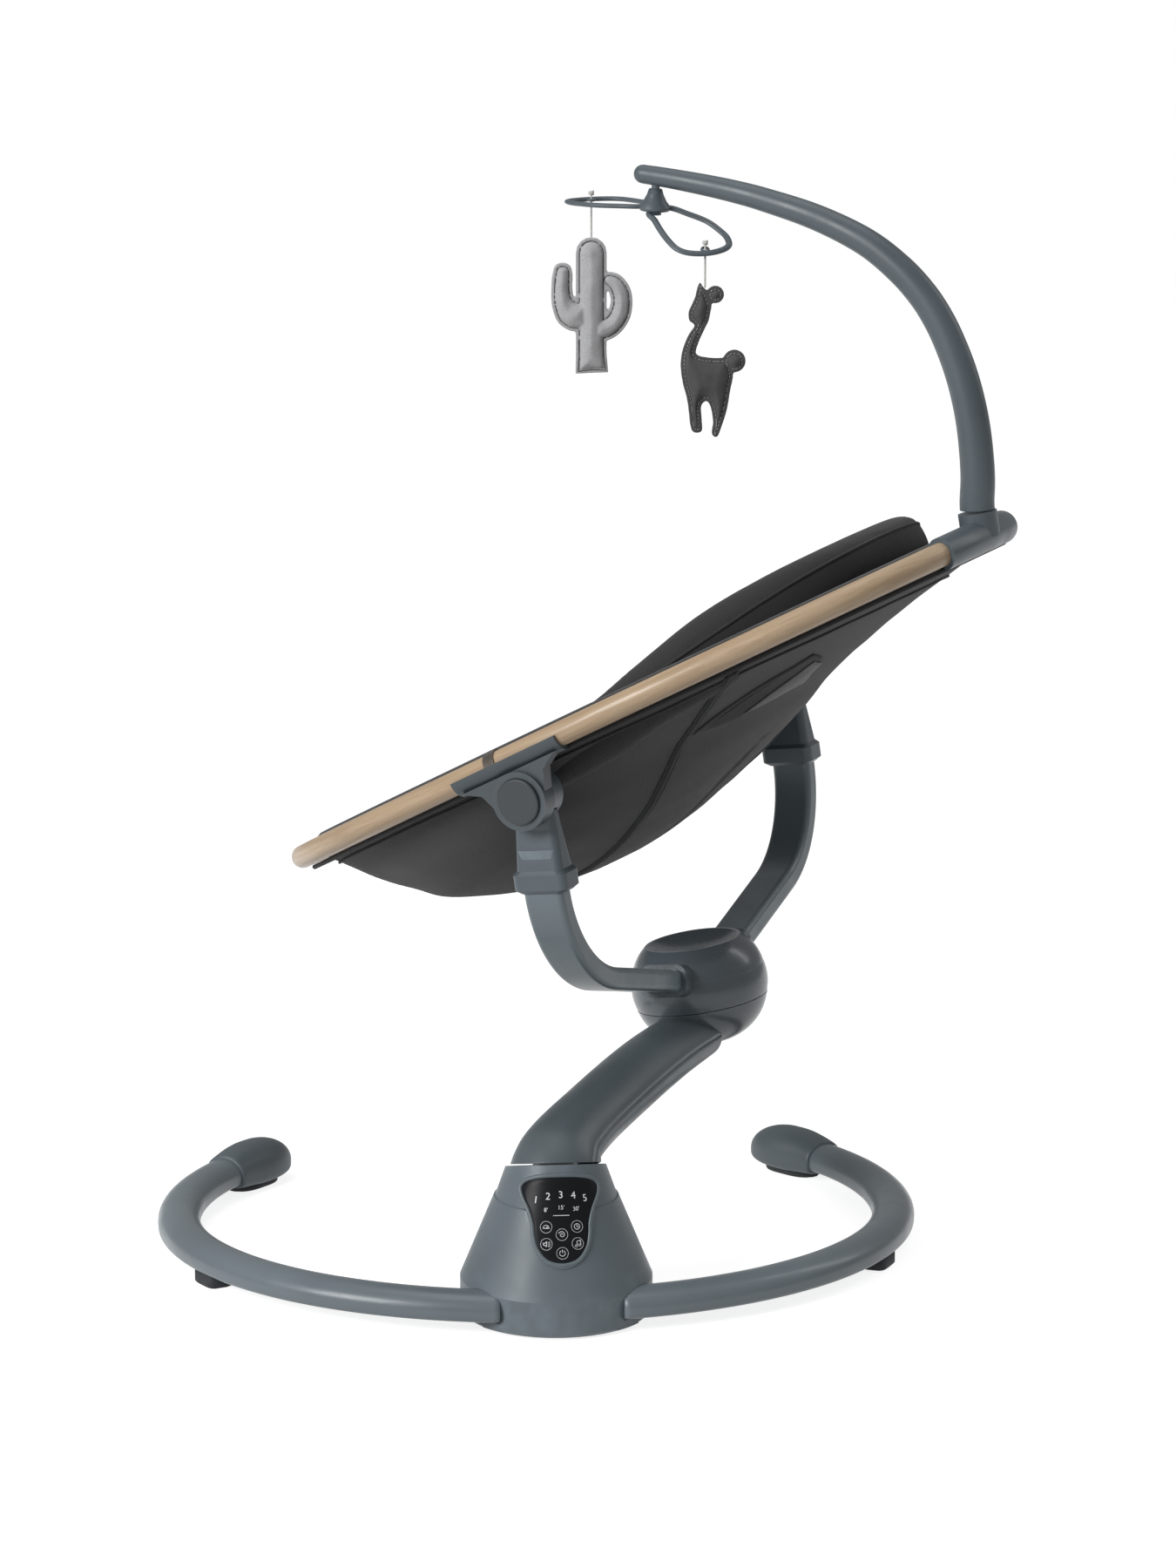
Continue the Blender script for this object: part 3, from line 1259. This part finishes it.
def mark_lines(name, lines, x, z, width=0.5):
    """Printed symbol on the panel from strokes in millimetres."""
    place = panel_place(x, z)
    verts, faces = [], []
    for line in lines:
        points = [np.array(p, float) for p in line]
        for i in range(len(points) - 1):
            a, b = points[i], points[i + 1]
            way = (b - a) / max(np.linalg.norm(b - a), 1e-6)
            side = np.array((-way[1], way[0])) * width / 2
            ahead = way * width * 0.25
            base = len(verts)
            for p in (a - side - ahead, b - side + ahead, b + side + ahead, a + side - ahead):
                for height in (0.0, 0.09):
                    verts.append(Vector((p[0], p[1], height)) * MM)
            faces += [
                (base, base + 2, base + 4, base + 6), (base + 1, base + 7, base + 5, base + 3),
                (base, base + 1, base + 3, base + 2), (base + 2, base + 3, base + 5, base + 4),
                (base + 4, base + 5, base + 7, base + 6), (base + 6, base + 7, base + 1, base),
            ]
    piece = make(name, verts, faces, "print", None, smooth=False)
    piece.matrix_world = place
    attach(piece, "base")


def arc(radius, start, end, x=0.0, y=0.0, steps=20):
    """Points of an arc, in degrees."""
    return [
        (x + radius * math.cos(math.radians(a)), y + radius * math.sin(math.radians(a)))
        for a in np.linspace(start, end, steps)
    ]


for number, x, z in ((1, -18.6, 100.4), (2, -9.6, 103.4), (3, 0.0, 104.6), (4, 9.6, 103.8), (5, 18.4, 101.0)):
    mark_text(f"speed_{number}", str(number), x, z, 7.6)
for minutes, x, z in ((8, -11.4, 94.0), (15, 0.0, 95.8), (30, 11.4, 94.4)):
    mark_text(f"timer_{minutes}", f"{minutes}'", x, z, 4.4)
mark_lines("timer_dash", [[(-6, 0), (6, 0)]], 0, 90.4, 0.45)
SPIRAL = [
    (r * math.cos(a), r * math.sin(a)) for a, r in zip(np.linspace(0, 9, 26), np.linspace(0.4, 2.6, 26))
]
MARK_RADIUS = 4.4
HORN = [(-2.4, -0.7), (-1.2, -0.7), (0.2, -2.0), (0.2, 2.0), (-1.2, 0.7), (-2.4, 0.7), (-2.4, -0.7)]
SYMBOLS = {
    "dial": (-11.6, 82.2, [arc(2.3, 0, 180, 0, -0.9), [(-2.3, -0.9), (2.3, -0.9)], [(0, -0.9), (1.3, 0.6)]]),
    "clock": (11.6, 82.2, [arc(2.1, 0, 360), [(0, 1.3), (0, 0), (1.0, -0.6)]]),
    "swirl": (0.0, 77.1, [SPIRAL]),
    "speaker": (-11.8, 70.4, [HORN, arc(1.6, -50, 50, 0.3), arc(2.5, -50, 50, 0.3)]),
    "note": (11.8, 70.4, [
        arc(0.8, 0, 360, -1.3, -1.7), arc(0.8, 0, 360, 1.5, -1.2),
        [(-0.5, -1.7), (-0.5, 1.7), (2.3, 2.3), (2.3, -1.2)],
    ]),
    "power": (0.0, 64.2, [arc(2.1, 125, 415), [(0, 2.6), (0, 0.4)]]),
}
for name, (x, z, lines) in SYMBOLS.items():
    mark_lines(f"mark_{name}", lines, x, z, 0.5)
    mark_lines(f"ring_{name}", [arc(MARK_RADIUS, 0, 360, 0, 0, 48)], x, z, 0.28)

# ---------------------------------------------------------------- floor, light and camera

FLOOR_GLOW = 0.82
WORLD_LIGHT = 0.36
bpy.ops.mesh.primitive_plane_add(size=14, location=(0, 0, -0.0005))
floor = bpy.context.active_object
floor.name = "studio_floor"
ground = Nodes("studio_floor")
sight = ground.add("ShaderNodeLightPath")
seen = ground.math("MAXIMUM", sight.outputs["Is Camera Ray"], sight.outputs["Is Glossy Ray"])
cloud = ground.ramp(ground.noise(1.3, 2.0), 0.3, 0.7)
ground.set(
    Base_Color=ground.blend(cloud, (0.50, 0.50, 0.50, 1), (0.54, 0.54, 0.54, 1)),
    Roughness=0.9, Specular_IOR_Level=0.0, Emission_Color=(1, 1, 1, 1),
    Emission_Strength=ground.math("MULTIPLY", seen, FLOOR_GLOW),
)
floor.data.materials.append(ground.material)

world = bpy.data.worlds.new("studio")
world.use_nodes = True
sky = world.node_tree.nodes["Background"]
sight = world.node_tree.nodes.new("ShaderNodeLightPath")
seen = world.node_tree.nodes.new("ShaderNodeMath")
seen.operation = "MAXIMUM"
strength = world.node_tree.nodes.new("ShaderNodeMapRange")
strength.inputs[3].default_value = WORLD_LIGHT
strength.inputs[4].default_value = 1.0
for source, target in (
    (sight.outputs["Is Camera Ray"], seen.inputs[0]), (sight.outputs["Is Transmission Ray"], seen.inputs[1]),
    (seen.outputs[0], strength.inputs[0]), (strength.outputs[0], sky.inputs[1]),
):
    world.node_tree.links.new(source, target)
sky.inputs[0].default_value = (1, 1, 1, 1)
bpy.context.scene.world = world


def soft_box(name, place, target, size, power):
    """A large area light aimed at a point."""
    data = bpy.data.lights.new(name, "AREA")
    data.shape = "RECTANGLE"
    data.size, data.size_y = size
    data.energy = power
    lamp = bpy.data.objects.new(name, data)
    lamp.location = place
    lamp.rotation_euler = (Vector(target) - Vector(place)).to_track_quat("-Z", "Y").to_euler()
    link(lamp)


soft_box("key", (-2.6, -1.7, 1.9), (0, 0.15, 0.35), (1.4, 1.4), 88)
soft_box("rim", (2.2, 0.6, 1.8), (0, 0.15, 0.35), (0.5, 1.6), 8)
soft_box("top", (0.0, 0.3, 2.6), (0, 0.2, 0.3), (1.6, 1.6), 12)

camera_data = bpy.data.cameras.new("camera")
camera_data.lens = 101.5
camera_data.sensor_width = 36
camera_data.sensor_fit = "AUTO"
camera_data.clip_end = 50
camera = bpy.data.objects.new("camera", camera_data)
camera.location = (-0.2516, -3.2185, 1.0851)
aim = Vector((0.0243, 0.0, 0.4103))
camera.rotation_euler = (aim - camera.location).to_track_quat("-Z", "Y").to_euler()
link(camera)
bpy.context.scene.camera = camera
bpy.context.scene.view_settings.view_transform = "Standard"
